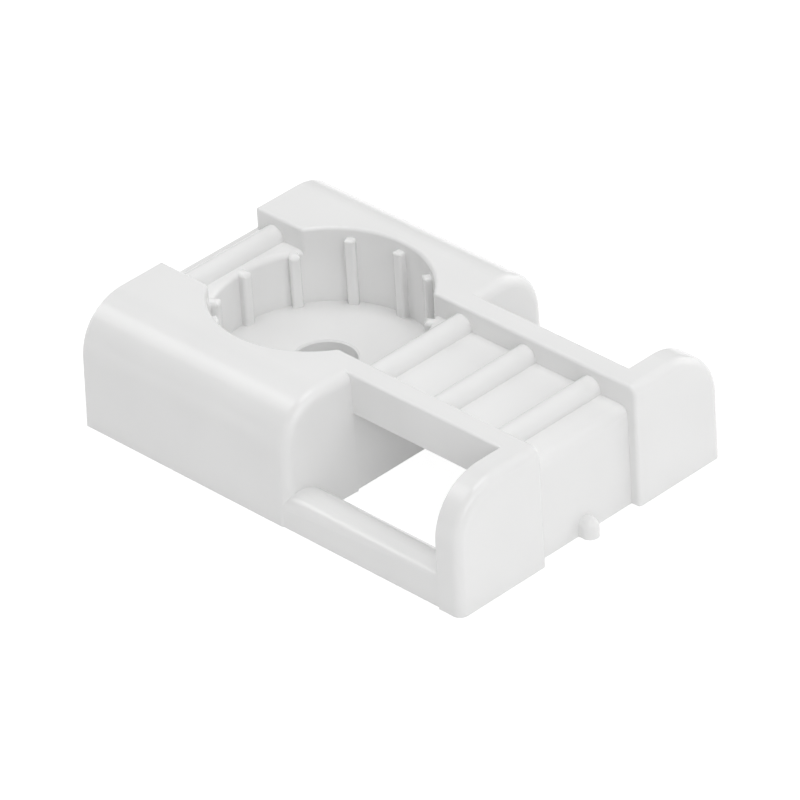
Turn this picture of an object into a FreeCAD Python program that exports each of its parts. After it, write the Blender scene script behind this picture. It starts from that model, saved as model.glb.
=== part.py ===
import FreeCAD, Part
import math
import os

# Cable tie mount, moulded in one piece, in millimetres.
# Origin: on the axis of the nail hole, in the plane of the flat base.
# +X runs along the cable channel to the open end, +Z leaves the wall.

Vector = FreeCAD.Vector

# Overall size
WIDTH = 29.55
HEIGHT = 11.05
BLOCK_INSET = 0.08
END_WALL = 2.46
SHOULDER_RADIUS = 5.0
BLOCK_SHOULDER_RADIUS = 4.65
SIDE_DRAFT_DEG = 0.4
BLOCK_SIDE_DRAFT_DEG = 1.7
REAR_DRAFT_DEG = 0.8
FRONT_SWEEP_DEG = 2.6

# Nail gun pocket, whose floor rises a little towards the nail hole
REAR_WALL = 3.96
FRONT_WALL = 1.6
POCKET_RADIUS = 9.08
POCKET_FLOOR = 4.1
FLOOR_RISE = 0.42
NAIL_HOLE_RADIUS = 2.65
NAIL_HOLE_EDGE = 0.15

# Crush ribs, which grip the nose of the nail gun
CRUSH_RIB_COUNT = 12
CRUSH_RIB_WIDTH = 0.94
CRUSH_RIB_PROTRUSION = 0.65
CRUSH_RIB_EDGE = 0.25
TALL_RIB_BELOW_TOP = 0.85
TALL_RIB_NOSE = 0.22
TALL_RIB_SHOULDER = 0.28
LOW_RIB_NOSE = 0.5
LOW_RIB_SHOULDER = 0.4

# Cable channel along the top, and the ribs across it
CHANNEL_WIDTH = 10.54
CHANNEL_DEPTH = 2.05
CROSS_RIB_RADIUS = 1.03
CROSS_RIB_SHANK = 0.24
REAR_RIB_SHANK = 0.1
BRIDGE_RIB_COUNT = 3
FIRST_RIB_BEFORE_OPENING = 0.15
LAST_RIB_BEFORE_END_WALL = 2.28
REAR_RIB_FROM_REAR = 2.29

# Opening for the tie, and the bridge over it with a rail on each side
TIE_OPENING = 16.12
RAIL_WIDTH = 1.99
RAIL_EDGE = 0.25
BRIDGE_THICKNESS = 1.65

# Bars that join the block to the end wall along the base, each with a quarter-round inner side
BAR_HEIGHT = 3.03
BAR_WIDTH = 4.4
BAR_INSET = 0.09
BAR_EDGE_AT_BLOCK = 1.35
BAR_EDGE_AT_END_WALL = 0.25

# Edges and recesses
BLOCK_FRONT_EDGE = 0.95
END_WALL_EDGE = 0.8
REAR_EDGE = 0.3
REAR_CORNER = 0.4
WINDOW_EDGE = 0.12
INNER_EDGE = 0.3
POCKET_CORNER = 0.4
LOW_RIM_EDGE = 0.5
FRONT_RECESS = 0.88
RECESS_TOP_EDGE = 0.85
SHUT_OFF_STEP = 0.18

# Gate mark at the foot of the end wall
GATE_WIDTH = 1.5
GATE_REACH = 1.3
GATE_HEIGHT = 1.6
GATE_EDGE = 0.65

# Underside, cored out to an even wall
WALL = 1.7
RING_WALL = 1.5
BOSS_WALL = 1.75
CORE_RIB = 1.2
FLOOR_RIB_COUNT = 6

# Reach of cutting tools past the faces that they cut, and of pieces into what carries them
OVERCUT = 1.0
EMBED = 0.5
TOLERANCE = 1e-4

SIDE_DRAFT = math.radians(SIDE_DRAFT_DEG)
BLOCK_SIDE_DRAFT = math.radians(BLOCK_SIDE_DRAFT_DEG)
FRONT_SWEEP = math.radians(FRONT_SWEEP_DEG)
REAR_LEAN = math.tan(math.radians(REAR_DRAFT_DEG))
NAIL_RIM_Z = POCKET_FLOOR + FLOOR_RISE * (1 - NAIL_HOLE_RADIUS / POCKET_RADIUS)
REAR_X = -(POCKET_RADIUS + REAR_WALL)
BLOCK_FRONT_X = POCKET_RADIUS + FRONT_WALL
END_WALL_X = BLOCK_FRONT_X + TIE_OPENING
FRONT_X = END_WALL_X + END_WALL
LENGTH = FRONT_X - REAR_X
RECESS_X = FRONT_X - FRONT_RECESS
HALF_WIDTH = WIDTH / 2
HALF_BLOCK = HALF_WIDTH - BLOCK_INSET
HALF_CHANNEL = CHANNEL_WIDTH / 2
HALF_BRIDGE = HALF_CHANNEL + RAIL_WIDTH
BLOCK_NOSE_X = BLOCK_FRONT_X + HALF_BRIDGE * math.tan(FRONT_SWEEP)
CHANNEL_Z = HEIGHT - CHANNEL_DEPTH
BRIDGE_Z = CHANNEL_Z - BRIDGE_THICKNESS


def box(x, y, z):
    """Box between two X, two Y and two Z values."""
    size = (x[1] - x[0], y[1] - y[0], z[1] - z[0])
    return Part.makeBox(*size, Vector(x[0], y[0], z[0]))


def line(a, b):
    return Part.LineSegment(a, b).toShape()


def arc(a, middle, b):
    return Part.Arc(a, middle, b).toShape()


def arc_about(centre, radius, start, end, axes):
    """Arc from one angle to another, in the plane of two unit vectors."""
    def point(angle):
        return centre + axes[0] * (radius * math.cos(angle)) + axes[1] * (radius * math.sin(angle))
    return arc(point(start), point((start + end) / 2), point(end))


def extrude(edges, direction):
    return Part.Face(Part.Wire(edges)).extrude(direction)


def mirrored(shape):
    """Copy on the other side of the middle plane."""
    return shape.mirror(Vector(0, 0, 0), Vector(0, 1, 0))


def edges_where(shape, test):
    """Edges whose two ends and middle all pass a test on a point."""
    chosen = []
    for edge in shape.Edges:
        middle = edge.valueAt((edge.FirstParameter + edge.LastParameter) / 2)
        points = [vertex.Point for vertex in edge.Vertexes] + [middle]
        if all(test(point) for point in points):
            chosen.append(edge)
    return chosen


def near(value, target):
    return abs(value - target) < TOLERANCE


def shouldered_prism(half_width, height, radius, draft, x_start, x_end):
    """Prism along X with drafted sides and a round shoulder on each side."""
    across, up = Vector(0, 1, 0), Vector(0, 0, 1)
    centre_z = height - radius
    centre_y = half_width - (radius + centre_z * math.sin(draft)) / math.cos(draft)
    outline = []
    right = Vector(x_start, centre_y, centre_z)
    left = Vector(x_start, -centre_y, centre_z)
    right_arc = arc_about(right, radius, draft, math.pi / 2, (across, up))
    left_arc = arc_about(left, radius, math.pi / 2, math.pi - draft, (across, up))
    foot_right = Vector(x_start, half_width, 0)
    foot_left = Vector(x_start, -half_width, 0)
    outline.append(line(foot_left, foot_right))
    outline.append(line(foot_right, right_arc.Vertexes[0].Point))
    outline.append(right_arc)
    outline.append(line(right_arc.Vertexes[-1].Point, left_arc.Vertexes[0].Point))
    outline.append(left_arc)
    outline.append(line(left_arc.Vertexes[-1].Point, foot_left))
    return extrude(outline, Vector(x_end - x_start, 0, 0))


def behind_rear():
    """Wedge behind the block, whose front side is the drafted rear face."""
    half = HALF_WIDTH + OVERCUT
    low, top = -OVERCUT, HEIGHT + OVERCUT
    back = REAR_X - OVERCUT
    corners = [
        Vector(back, -half, low),
        Vector(REAR_X + low * REAR_LEAN, -half, low),
        Vector(REAR_X + top * REAR_LEAN, -half, top),
        Vector(back, -half, top),
    ]
    outline = Part.makePolygon(corners + corners[:1])
    return Part.Face(outline).extrude(Vector(0, 2 * half, 0))


def ahead_of_front():
    """Box ahead of the block, turned so that the block's front is swept back towards the +Y side."""
    reach = WIDTH
    body = box((0, reach), (-reach, reach), (-OVERCUT, HEIGHT + OVERCUT))
    body.rotate(Vector(0, 0, 0), Vector(0, 0, 1), FRONT_SWEEP_DEG)
    body.translate(Vector(BLOCK_NOSE_X, 0, 0))
    return body


def on_swept_front(p):
    return near((p.x - BLOCK_NOSE_X) * math.cos(FRONT_SWEEP) + p.y * math.sin(FRONT_SWEEP), 0)


def above_base(edges):
    """Edges that leave the plane of the base."""
    return [edge for edge in edges if edge.BoundBox.ZMax > TOLERANCE]


def make_block():
    """Block that holds the pocket: the +Y half with its eased front and rear outlines, and its mirror."""
    radius, draft = BLOCK_SHOULDER_RADIUS, BLOCK_SIDE_DRAFT
    body = shouldered_prism(HALF_BLOCK, HEIGHT, radius, draft, REAR_X, BLOCK_NOSE_X + EMBED)
    body = body.cut(behind_rear()).cut(ahead_of_front())
    front = above_base(edges_where(body, on_swept_front))
    body = body.makeFillet(BLOCK_FRONT_EDGE, front)
    rear = above_base(edges_where(body, lambda p: near(p.x, REAR_X + p.z * REAR_LEAN)))
    body = body.makeChamfer(REAR_EDGE, rear)
    reach = (REAR_X - OVERCUT, BLOCK_NOSE_X + OVERCUT)
    half = body.common(box(reach, (0, HALF_WIDTH + OVERCUT), (-OVERCUT, HEIGHT + OVERCUT)))
    return half.fuse(mirrored(half)).removeSplitter()


def make_end_wall():
    """Upright wall at the open end, whose ears stand beside the channel."""
    body = shouldered_prism(HALF_WIDTH, HEIGHT, SHOULDER_RADIUS, SIDE_DRAFT, END_WALL_X, FRONT_X)
    front = above_base(edges_where(body, lambda p: near(p.x, FRONT_X)))
    body = body.makeFillet(END_WALL_EDGE, front)
    window = above_base(edges_where(body, lambda p: near(p.x, END_WALL_X)))
    return body.makeChamfer(WINDOW_EDGE, window)


def make_bridge():
    """Plate and rails between the block and the end wall, before the channel is cut."""
    x_start = BLOCK_FRONT_X - BLOCK_FRONT_EDGE - EMBED
    x_end = END_WALL_X + EMBED
    body = box((x_start, x_end), (-HALF_BRIDGE, HALF_BRIDGE), (BRIDGE_Z, HEIGHT))
    top = edges_where(body, lambda p: near(abs(p.y), HALF_BRIDGE) and near(p.z, HEIGHT))
    return body.makeFillet(RAIL_EDGE, top)


def flat(*corners):
    """Flat face between corners."""
    return Part.Face(Part.makePolygon(corners + corners[:1]))


def bar_edge_waste(start, end):
    """What a narrowing cone leaves of the bar's outer top edge, touching its top and its outer side."""
    taper = (BAR_EDGE_AT_BLOCK - BAR_EDGE_AT_END_WALL) / (end - start).Length
    tip = start + (end - start).normalize() * (BAR_EDGE_AT_BLOCK / taper)
    on_top = start - Vector(0, BAR_EDGE_AT_BLOCK, 0)
    on_side = start - Vector(0, 0, BAR_EDGE_AT_BLOCK)
    axis = start - Vector(0, BAR_EDGE_AT_BLOCK, BAR_EDGE_AT_BLOCK) - tip
    half_angle = math.asin(BAR_EDGE_AT_BLOCK / axis.Length)
    reach = axis.Length + OVERCUT
    cone = Part.makeCone(0, reach * math.tan(half_angle), reach, tip, axis)
    sides = [flat(tip, on_top, start), flat(tip, start, on_side)]
    sides += [flat(tip, on_side, on_top), flat(start, on_top, on_side)]
    corner = Part.Solid(Part.Shell(sides))
    return corner.cut(cone)


def make_bar():
    """Bar on the +Y side, whose outer top edge gets sharper on its way to the end wall."""
    x_start = BLOCK_FRONT_X - BLOCK_FRONT_EDGE - EMBED
    x_end = END_WALL_X + EMBED
    outer_y = HALF_BLOCK - BAR_INSET
    axis = Vector(x_start, outer_y - BAR_WIDTH + BAR_HEIGHT, 0)
    inner_side = arc_about(axis, BAR_HEIGHT, math.pi, math.pi / 2, (Vector(0, 1, 0), Vector(0, 0, 1)))
    foot = Vector(x_start, outer_y, 0)
    edge_start = Vector(x_start, outer_y, BAR_HEIGHT)
    edge_end = Vector(x_end, outer_y, BAR_HEIGHT)
    inner_foot, inner_top = [vertex.Point for vertex in inner_side.Vertexes]
    outline = [inner_side, line(inner_top, edge_start), line(edge_start, foot), line(foot, inner_foot)]
    body = extrude(outline, Vector(x_end - x_start, 0, 0))
    return body.cut(bar_edge_waste(edge_start, edge_end))


def cut_channel(body):
    """Cable channel through the whole top, and its run down the end wall's front."""
    through = (REAR_X - OVERCUT, FRONT_X + OVERCUT)
    across = (-HALF_CHANNEL, HALF_CHANNEL)
    channel = box(through, across, (CHANNEL_Z, HEIGHT + OVERCUT))
    recess = box((RECESS_X, through[1]), across, (-OVERCUT, HEIGHT))
    body = body.cut(channel.fuse(recess))
    brow = edges_where(body, lambda p: near(p.x, RECESS_X) and near(p.z, CHANNEL_Z))
    return body.makeFillet(RECESS_TOP_EDGE, brow)


def cut_shut_off(body):
    """Shallow step in the block's front wall below the bridge, where the mould halves close."""
    step = (BLOCK_FRONT_X - SHUT_OFF_STEP, BLOCK_NOSE_X + OVERCUT)
    return body.cut(box(step, (-HALF_BRIDGE, HALF_BRIDGE), (-OVERCUT, BRIDGE_Z)))


def cut_pocket(body):
    """Round pocket, open to the channel at both ends, over a floor that rises to the nail hole."""
    rim = HEIGHT + OVERCUT
    centre = Vector(0, 0, POCKET_FLOOR + FLOOR_RISE)
    foot = Vector(POCKET_RADIUS, 0, POCKET_FLOOR)
    corners = [centre, foot, Vector(POCKET_RADIUS, 0, rim), Vector(0, 0, rim), centre]
    hole = Part.Face(Part.makePolygon(corners)).revolve(Vector(0, 0, 0), Vector(0, 0, 1), 360)
    return body.cut(hole)


def round_rear_corners(body):
    """Upright corners where the channel leaves the block's rear."""
    def on_corner(p):
        return near(p.x, REAR_X + p.z * REAR_LEAN) and near(abs(p.y), HALF_CHANNEL)
    return body.makeFillet(REAR_CORNER, edges_where(body, on_corner))


def round_pocket_corners(body):
    """Upright corners where the pocket breaks into the channel."""
    def on_corner(p):
        in_wall = near(math.hypot(p.x, p.y), POCKET_RADIUS)
        return in_wall and near(abs(p.y), HALF_CHANNEL)
    upright = [edge for edge in edges_where(body, on_corner) if edge.BoundBox.ZLength > POCKET_CORNER]
    return body.makeFillet(POCKET_CORNER, upright)


def round_inner_edges(body):
    """Top edges of the channel and the pocket, and the ears' edges beside the recess."""
    def at_top(p):
        inside = abs(p.y) < HALF_CHANNEL + TOLERANCE
        in_pocket = math.hypot(p.x, p.y) < POCKET_RADIUS + TOLERANCE
        in_corner = abs(p.y) < HALF_CHANNEL + POCKET_CORNER and abs(p.x) < POCKET_RADIUS
        return near(p.z, HEIGHT) and (inside or in_pocket or in_corner)
    return body.makeFillet(INNER_EDGE, edges_where(body, at_top))


def round_low_rims(body):
    """Pocket edges at the level of the channel's floor, eased by a ring of spandrel section."""
    axes = (Vector(1, 0, 0), Vector(0, 0, 1))
    outer = POCKET_RADIUS + LOW_RIM_EDGE
    centre = Vector(outer, 0, CHANNEL_Z - LOW_RIM_EDGE)
    easing = arc_about(centre, LOW_RIM_EDGE, math.pi / 2, math.pi, axes)
    inner, top = POCKET_RADIUS - LOW_RIM_EDGE, CHANNEL_Z + LOW_RIM_EDGE
    corners = [
        easing.Vertexes[-1].Point,
        Vector(inner, 0, centre.z),
        Vector(inner, 0, top),
        Vector(outer, 0, top),
        easing.Vertexes[0].Point,
    ]
    section = [easing] + [line(a, b) for a, b in zip(corners, corners[1:])]
    ring = Part.Face(Part.Wire(section)).revolve(Vector(0, 0, 0), Vector(0, 0, 1), 360)
    reach = (-outer - OVERCUT, outer + OVERCUT)
    in_channel = box(reach, (-HALF_CHANNEL, HALF_CHANNEL), (0, HEIGHT))
    return body.cut(ring.common(in_channel))


def make_cross_rib(x, shank):
    """Round-backed rib across the channel."""
    half = HALF_CHANNEL + EMBED
    foot_z = CHANNEL_Z - EMBED
    axis_z = CHANNEL_Z + shank
    axis = Vector(x, -half, axis_z)
    side = Vector(CROSS_RIB_RADIUS, 0, 0)
    back = arc(axis - side, axis + Vector(0, 0, CROSS_RIB_RADIUS), axis + side)
    foot_rear = Vector(x - CROSS_RIB_RADIUS, -half, foot_z)
    foot_front = Vector(x + CROSS_RIB_RADIUS, -half, foot_z)
    outline = [line(foot_rear, axis - side), back, line(axis + side, foot_front), line(foot_front, foot_rear)]
    return extrude(outline, Vector(0, 2 * half, 0))


def make_cross_ribs():
    """One low rib behind the pocket, and the others evenly spaced along the bridge."""
    first = BLOCK_FRONT_X - FIRST_RIB_BEFORE_OPENING
    pitch = (END_WALL_X - LAST_RIB_BEFORE_END_WALL - first) / (BRIDGE_RIB_COUNT - 1)
    on_bridge = [make_cross_rib(first + n * pitch, CROSS_RIB_SHANK) for n in range(BRIDGE_RIB_COUNT)]
    return [make_cross_rib(REAR_X + REAR_RIB_FROM_REAR, REAR_RIB_SHANK)] + on_bridge


def make_crush_rib(angle_deg):
    """Upright rib on the pocket's wall, up to the channel's floor where the wall is low."""
    across = POCKET_RADIUS * abs(math.sin(math.radians(angle_deg)))
    low_wall = across < HALF_CHANNEL + POCKET_CORNER + CRUSH_RIB_WIDTH / 2
    top = CHANNEL_Z if low_wall else HEIGHT - TALL_RIB_BELOW_TOP
    nose_radius = LOW_RIB_NOSE if low_wall else TALL_RIB_NOSE
    shoulder_radius = LOW_RIB_SHOULDER if low_wall else TALL_RIB_SHOULDER
    crest = POCKET_RADIUS - CRUSH_RIB_PROTRUSION
    root = POCKET_RADIUS + LOW_RIM_EDGE + EMBED
    half = CRUSH_RIB_WIDTH / 2
    blank = box((crest, root), (-half, half), (POCKET_FLOOR - EMBED, top))
    upright = edges_where(blank, lambda p: near(p.x, crest) and near(abs(p.y), half))
    nose = edges_where(blank, lambda p: near(p.x, crest) and near(p.z, top))
    shoulders = edges_where(blank, lambda p: near(abs(p.y), half) and near(p.z, top))
    body = blank.makeFillet(CRUSH_RIB_EDGE, upright).common(blank.makeFillet(nose_radius, nose))
    body = body.common(blank.makeFillet(shoulder_radius, shoulders))
    body.rotate(Vector(0, 0, 0), Vector(0, 0, 1), angle_deg)
    return body


def cut_nail_hole(body):
    """Through hole for the nail, with its rim broken in the pocket."""
    drill = Part.makeCylinder(NAIL_HOLE_RADIUS, HEIGHT, Vector(0, 0, -OVERCUT))
    body = body.cut(drill)
    rim = edges_where(body, lambda p: near(p.z, NAIL_RIM_Z) and near(math.hypot(p.x, p.y), NAIL_HOLE_RADIUS))
    return body.makeChamfer(NAIL_HOLE_EDGE, rim)


def radial_rib(angle, reach, height):
    """Upright plate from the nail axis outwards, used to leave a rib in a core."""
    plate = box((0, reach), (-CORE_RIB / 2, CORE_RIB / 2), (-OVERCUT, height))
    plate.rotate(Vector(0, 0, 0), Vector(0, 0, 1), math.degrees(angle))
    return plate


def side_core():
    """Hollow under the block outside the pocket's ring, with a rib into each corner."""
    rear = REAR_X + WALL
    front = BLOCK_FRONT_X - (HALF_BLOCK - HALF_BRIDGE) * math.tan(FRONT_SWEEP) - WALL
    radius, draft = BLOCK_SHOULDER_RADIUS - WALL, BLOCK_SIDE_DRAFT
    hollow = shouldered_prism(HALF_BLOCK - WALL, HEIGHT - WALL, radius, draft, rear, front)
    low_roof = HALF_CHANNEL + WALL
    over_channel = box((rear, front), (-low_roof, low_roof), (BRIDGE_Z, HEIGHT))
    ring = Part.makeCylinder(POCKET_RADIUS + RING_WALL, HEIGHT + OVERCUT, Vector(0, 0, -OVERCUT))
    hollow = hollow.cut(over_channel).cut(ring)
    for x in (rear, front):
        for y in (-HALF_BLOCK + WALL, HALF_BLOCK - WALL):
            hollow = hollow.cut(radial_rib(math.atan2(y, x), LENGTH, HEIGHT))
    return hollow


def floor_core():
    """Shallow hollow under the pocket's floor, with ribs from the boss to the ring."""
    height = POCKET_FLOOR - WALL
    hollow = Part.makeCylinder(POCKET_RADIUS, height)
    boss = Part.makeCylinder(NAIL_HOLE_RADIUS + BOSS_WALL, height)
    hollow = hollow.cut(boss)
    for n in range(FLOOR_RIB_COUNT):
        hollow = hollow.cut(radial_rib(2 * math.pi * n / FLOOR_RIB_COUNT, LENGTH, height + OVERCUT))
    return hollow


def make_gate_mark():
    """Stub that the moulding gate leaves at the foot of the end wall."""
    half = GATE_WIDTH / 2
    tip = RECESS_X + GATE_REACH
    centre_x = tip - half
    root = RECESS_X - EMBED
    corner_a, corner_b = Vector(root, -half, 0), Vector(centre_x, -half, 0)
    corner_c, corner_d = Vector(centre_x, half, 0), Vector(root, half, 0)
    outline = [line(corner_a, corner_b), arc(corner_b, Vector(tip, 0, 0), corner_c)]
    outline += [line(corner_c, corner_d), line(corner_d, corner_a)]
    stub = extrude(outline, Vector(0, 0, GATE_HEIGHT))
    top = edges_where(stub, lambda p: near(p.z, GATE_HEIGHT) and p.x > root + TOLERANCE)
    return stub.makeFillet(GATE_EDGE, top)


def make_mount():
    bar = make_bar()
    body = make_block().fuse([make_end_wall(), make_bridge(), bar, mirrored(bar)]).removeSplitter()
    body = cut_channel(body)
    body = cut_shut_off(body)
    body = cut_pocket(body)
    body = round_rear_corners(body)
    body = round_pocket_corners(body)
    body = round_inner_edges(body)
    body = round_low_rims(body)
    body = body.cut(side_core()).cut(floor_core())
    ribs = make_cross_ribs()
    ribs += [make_crush_rib(360 * n / CRUSH_RIB_COUNT) for n in range(CRUSH_RIB_COUNT)]
    body = body.fuse(ribs + [make_gate_mark()]).removeSplitter()
    return cut_nail_hole(body)


mount = make_mount()
os.makedirs("parts", exist_ok=True)
mount.exportStep("parts/mount_body.step")
box_of_mount = mount.BoundBox
print("solids", len(mount.Solids), "valid", mount.isValid(), "volume", round(mount.Volume, 2))
print("box", [round(v, 3) for v in (box_of_mount.XMin, box_of_mount.XMax, box_of_mount.YMin,
                                    box_of_mount.YMax, box_of_mount.ZMin, box_of_mount.ZMax)])
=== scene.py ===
import math

import bpy
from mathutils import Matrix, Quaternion, Vector


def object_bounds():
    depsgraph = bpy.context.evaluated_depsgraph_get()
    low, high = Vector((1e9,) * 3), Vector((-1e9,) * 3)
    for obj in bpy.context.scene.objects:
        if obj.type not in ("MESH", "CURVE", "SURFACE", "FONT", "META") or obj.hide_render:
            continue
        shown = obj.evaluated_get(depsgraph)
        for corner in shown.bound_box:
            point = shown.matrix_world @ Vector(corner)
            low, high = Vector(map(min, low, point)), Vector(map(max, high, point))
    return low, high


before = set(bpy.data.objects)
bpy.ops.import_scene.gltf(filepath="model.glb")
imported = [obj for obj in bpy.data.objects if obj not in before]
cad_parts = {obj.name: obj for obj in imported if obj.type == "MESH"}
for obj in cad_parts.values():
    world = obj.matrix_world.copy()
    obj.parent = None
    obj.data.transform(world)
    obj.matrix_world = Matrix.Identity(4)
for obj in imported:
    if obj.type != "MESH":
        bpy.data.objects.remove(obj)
cad_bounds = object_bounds()

MM = 0.001

# Camera, solved from the photograph's straight edges: angles in degrees, lens and sensor in mm
AIM = Vector((8.669, -0.277, 4.186)) * MM
CAMERA_AZIMUTH = -43.126
CAMERA_ELEVATION = 33.132
CAMERA_ROLL = -3.929
CAMERA_DISTANCE = 544.3 * MM
CAMERA_REACH = 10.0
LENS = 309.5
SENSOR = 36.0

# Plastic: off-white, with slow flow waves and a fine moulded grain
PLASTIC_COLOUR = (0.86, 0.86, 0.857)
COLOUR_SPREAD = 0.015
ROUGHNESS = (0.16, 0.22)
GRAIN_SIZE = 0.10 * MM
GRAIN_HEIGHT = 0.0003 * MM
GRAIN_DETAIL = 2.0
FLOW_SIZE = 5.0 * MM
FLOW_HEIGHT = 0.04 * MM
FLOW_DETAIL = 0.0

# Studio
WORLD_STRENGTH = 0.40
WHITE_STRENGTH = 1.0
# Soft boxes: name, azimuth, elevation, distance in metres, width, power in watts
LAMPS = (
    ("overhead", 0, 90, 0.7, 0.40, 1.45),
    ("rear_left", -152, 43, 0.7, 0.25, 0.38),
    ("rear_high", -170, 56, 0.7, 0.40, 0.40),
    ("rear_right", 149, 34, 0.7, 0.38, 0.15),
    ("front_left", -31, 34, 0.7, 0.38, 0.93),
    ("front", 5, 34, 0.7, 0.38, 0.55),
    ("low_left", -45, 10, 0.7, 0.30, 0.25),
    ("low_right", 75, 14, 0.7, 0.60, 1.75),
)
FLOOR_SIZE = 3.0
FLOOR_COLOUR = 0.92
FLOOR_GLOW = 0.90
FLOOR_SHADOW_SHARE = 0.25


def direction(azimuth_deg, elevation_deg):
    """Unit vector towards an azimuth and an elevation."""
    azimuth = math.radians(azimuth_deg)
    elevation = math.radians(elevation_deg)
    flat = math.cos(elevation)
    return Vector((flat * math.cos(azimuth), flat * math.sin(azimuth), math.sin(elevation)))


def add_object(name, data):
    """New object in the scene's own collection."""
    added = bpy.data.objects.new(name, data)
    bpy.context.scene.collection.objects.link(added)
    return added


def turn_to_aim(placed, azimuth_deg, elevation_deg, distance, roll_deg=0.0):
    """Puts a camera or a lamp at a distance from the aim, and turns it to face the aim."""
    back = direction(azimuth_deg, elevation_deg)
    placed.location = AIM + back * distance
    level = (-back).to_track_quat("-Z", "Y")
    roll = Quaternion((0, 0, 1), math.radians(roll_deg))
    placed.rotation_mode = "QUATERNION"
    placed.rotation_quaternion = level @ roll


def make_camera():
    """The photograph's own camera."""
    data = bpy.data.cameras.new("camera")
    data.lens = LENS
    data.sensor_width = SENSOR
    data.clip_end = CAMERA_REACH
    camera = add_object("camera", data)
    turn_to_aim(camera, CAMERA_AZIMUTH, CAMERA_ELEVATION, CAMERA_DISTANCE, CAMERA_ROLL)
    bpy.context.scene.camera = camera


def make_area(name, azimuth_deg, elevation_deg, distance, size, power):
    """Square soft box, turned towards the object."""
    data = bpy.data.lights.new(name, "AREA")
    data.shape = "SQUARE"
    data.size = size
    data.energy = power
    turn_to_aim(add_object(name, data), azimuth_deg, elevation_deg, distance)


def seen_by_eye(nodes, links):
    """Socket that is 1 for rays from the camera, straight or mirrored, and 0 for the rest."""
    path = nodes.new("ShaderNodeLightPath")
    total = path.outputs["Is Camera Ray"]
    for name in ("Is Glossy Ray", "Is Transmission Ray"):
        either = nodes.new("ShaderNodeMath")
        either.operation = "MAXIMUM"
        links.new(total, either.inputs[0])
        links.new(path.outputs[name], either.inputs[1])
        total = either.outputs["Value"]
    return total


def make_world():
    """White where the camera meets it, and a plain soft light for the object."""
    world = bpy.data.worlds.new("studio")
    bpy.context.scene.world = world
    world.use_nodes = True
    nodes, links = world.node_tree.nodes, world.node_tree.links
    nodes.clear()
    output = nodes.new("ShaderNodeOutputWorld")
    lit = nodes.new("ShaderNodeBackground")
    lit.inputs["Strength"].default_value = WORLD_STRENGTH
    seen = nodes.new("ShaderNodeBackground")
    seen.inputs["Strength"].default_value = WHITE_STRENGTH
    path = nodes.new("ShaderNodeLightPath")
    mix = nodes.new("ShaderNodeMixShader")
    links.new(path.outputs["Is Camera Ray"], mix.inputs["Fac"])
    links.new(lit.outputs["Background"], mix.inputs[1])
    links.new(seen.outputs["Background"], mix.inputs[2])
    links.new(mix.outputs["Shader"], output.inputs["Surface"])


def grey(value):
    """Opaque colour with one value for all three channels."""
    return (value, value, value, 1)


def make_floor_material():
    """White paper: the eye sees it glow up to white, with the object's shadow left in it."""
    material = bpy.data.materials.new("floor_paper")
    material.use_nodes = True
    nodes, links = material.node_tree.nodes, material.node_tree.links
    nodes.clear()
    output = nodes.new("ShaderNodeOutputMaterial")
    paper = nodes.new("ShaderNodeBsdfDiffuse")
    paper.inputs["Color"].default_value = grey(FLOOR_COLOUR)
    glow = nodes.new("ShaderNodeEmission")
    glow.inputs["Strength"].default_value = FLOOR_GLOW
    shadow = nodes.new("ShaderNodeBsdfDiffuse")
    shadow.inputs["Color"].default_value = grey(FLOOR_SHADOW_SHARE)
    seen = nodes.new("ShaderNodeAddShader")
    links.new(glow.outputs["Emission"], seen.inputs[0])
    links.new(shadow.outputs["BSDF"], seen.inputs[1])
    mix = nodes.new("ShaderNodeMixShader")
    links.new(seen_by_eye(nodes, links), mix.inputs["Fac"])
    links.new(paper.outputs["BSDF"], mix.inputs[1])
    links.new(seen.outputs["Shader"], mix.inputs[2])
    links.new(mix.outputs["Shader"], output.inputs["Surface"])
    return material


def make_floor():
    """Square sheet of paper that the mount's base stands on."""
    mesh = bpy.data.meshes.new("floor")
    half = FLOOR_SIZE / 2
    corners = [(-half, -half, 0), (half, -half, 0), (half, half, 0), (-half, half, 0)]
    mesh.from_pydata(corners, [], [(0, 1, 2, 3)])
    mesh.materials.append(make_floor_material())
    floor = add_object("floor", mesh)
    floor.location.z = cad_bounds[0][2]


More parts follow.
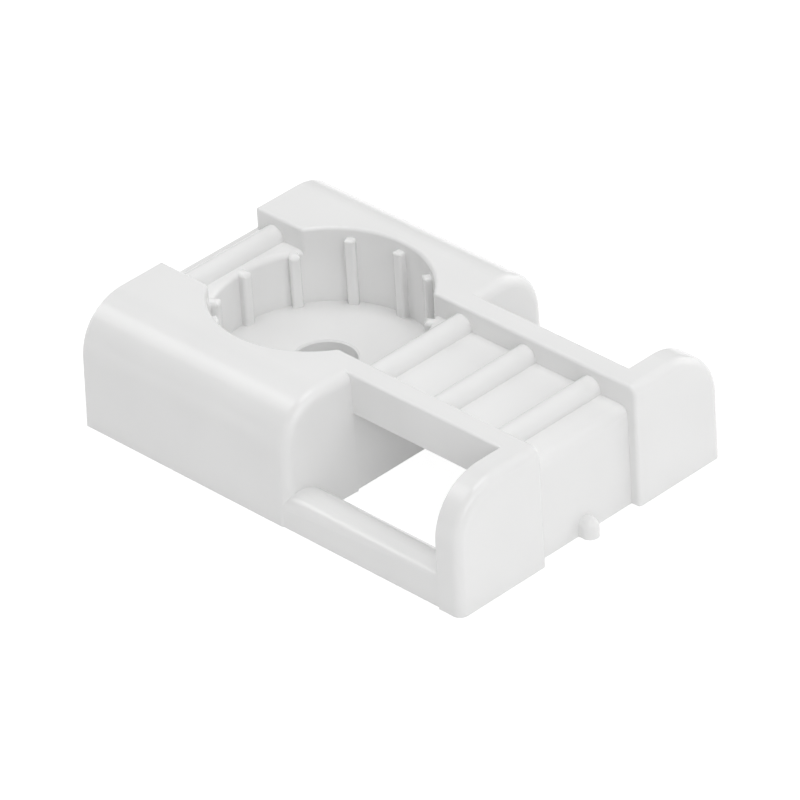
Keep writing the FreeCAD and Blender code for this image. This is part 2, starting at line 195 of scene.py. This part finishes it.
def noise(nodes, links, place, size, detail):
    """Noise of one grain size, as a socket from 0 to 1."""
    node = nodes.new("ShaderNodeTexNoise")
    node.inputs["Scale"].default_value = 1 / size
    node.inputs["Detail"].default_value = detail
    links.new(place, node.inputs["Vector"])
    return node.outputs["Fac"]


def spread(nodes, links, source, low, high):
    """Maps a noise to a range of values."""
    node = nodes.new("ShaderNodeMapRange")
    node.inputs["To Min"].default_value = low
    node.inputs["To Max"].default_value = high
    links.new(source, node.inputs["Value"])
    return node.outputs["Result"]


def bump(nodes, links, height, distance, below=None):
    """Turns a height into a tilt of the surface, on top of an earlier tilt if there is one."""
    node = nodes.new("ShaderNodeBump")
    node.inputs["Distance"].default_value = distance
    links.new(height, node.inputs["Height"])
    if below is not None:
        links.new(below, node.inputs["Normal"])
    return node.outputs["Normal"]


def shifted(colour, amount):
    """Opaque colour with the same amount added to each channel."""
    return tuple(channel + amount for channel in colour) + (1,)


def make_plastic():
    """Off-white moulded plastic: slow flow waves and a fine grain under a soft gloss."""
    material = bpy.data.materials.new("moulded_plastic")
    material.use_nodes = True
    nodes, links = material.node_tree.nodes, material.node_tree.links
    shader = nodes["Principled BSDF"]
    place = nodes.new("ShaderNodeTexCoord").outputs["Object"]
    flow = noise(nodes, links, place, FLOW_SIZE, FLOW_DETAIL)
    grain = noise(nodes, links, place, GRAIN_SIZE, GRAIN_DETAIL)
    tint = nodes.new("ShaderNodeMix")
    tint.data_type = "RGBA"
    tint.inputs["A"].default_value = shifted(PLASTIC_COLOUR, -COLOUR_SPREAD)
    tint.inputs["B"].default_value = shifted(PLASTIC_COLOUR, COLOUR_SPREAD)
    links.new(flow, tint.inputs["Factor"])
    links.new(tint.outputs["Result"], shader.inputs["Base Color"])
    links.new(spread(nodes, links, flow, *ROUGHNESS), shader.inputs["Roughness"])
    waves = bump(nodes, links, flow, FLOW_HEIGHT)
    links.new(bump(nodes, links, grain, GRAIN_HEIGHT, waves), shader.inputs["Normal"])
    return material


make_camera()
make_world()
make_floor()
for lamp in LAMPS:
    make_area(*lamp)
plastic = make_plastic()
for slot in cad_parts["mount_body"].material_slots:
    slot.material = plastic

bpy.context.scene.view_settings.view_transform = "Standard"
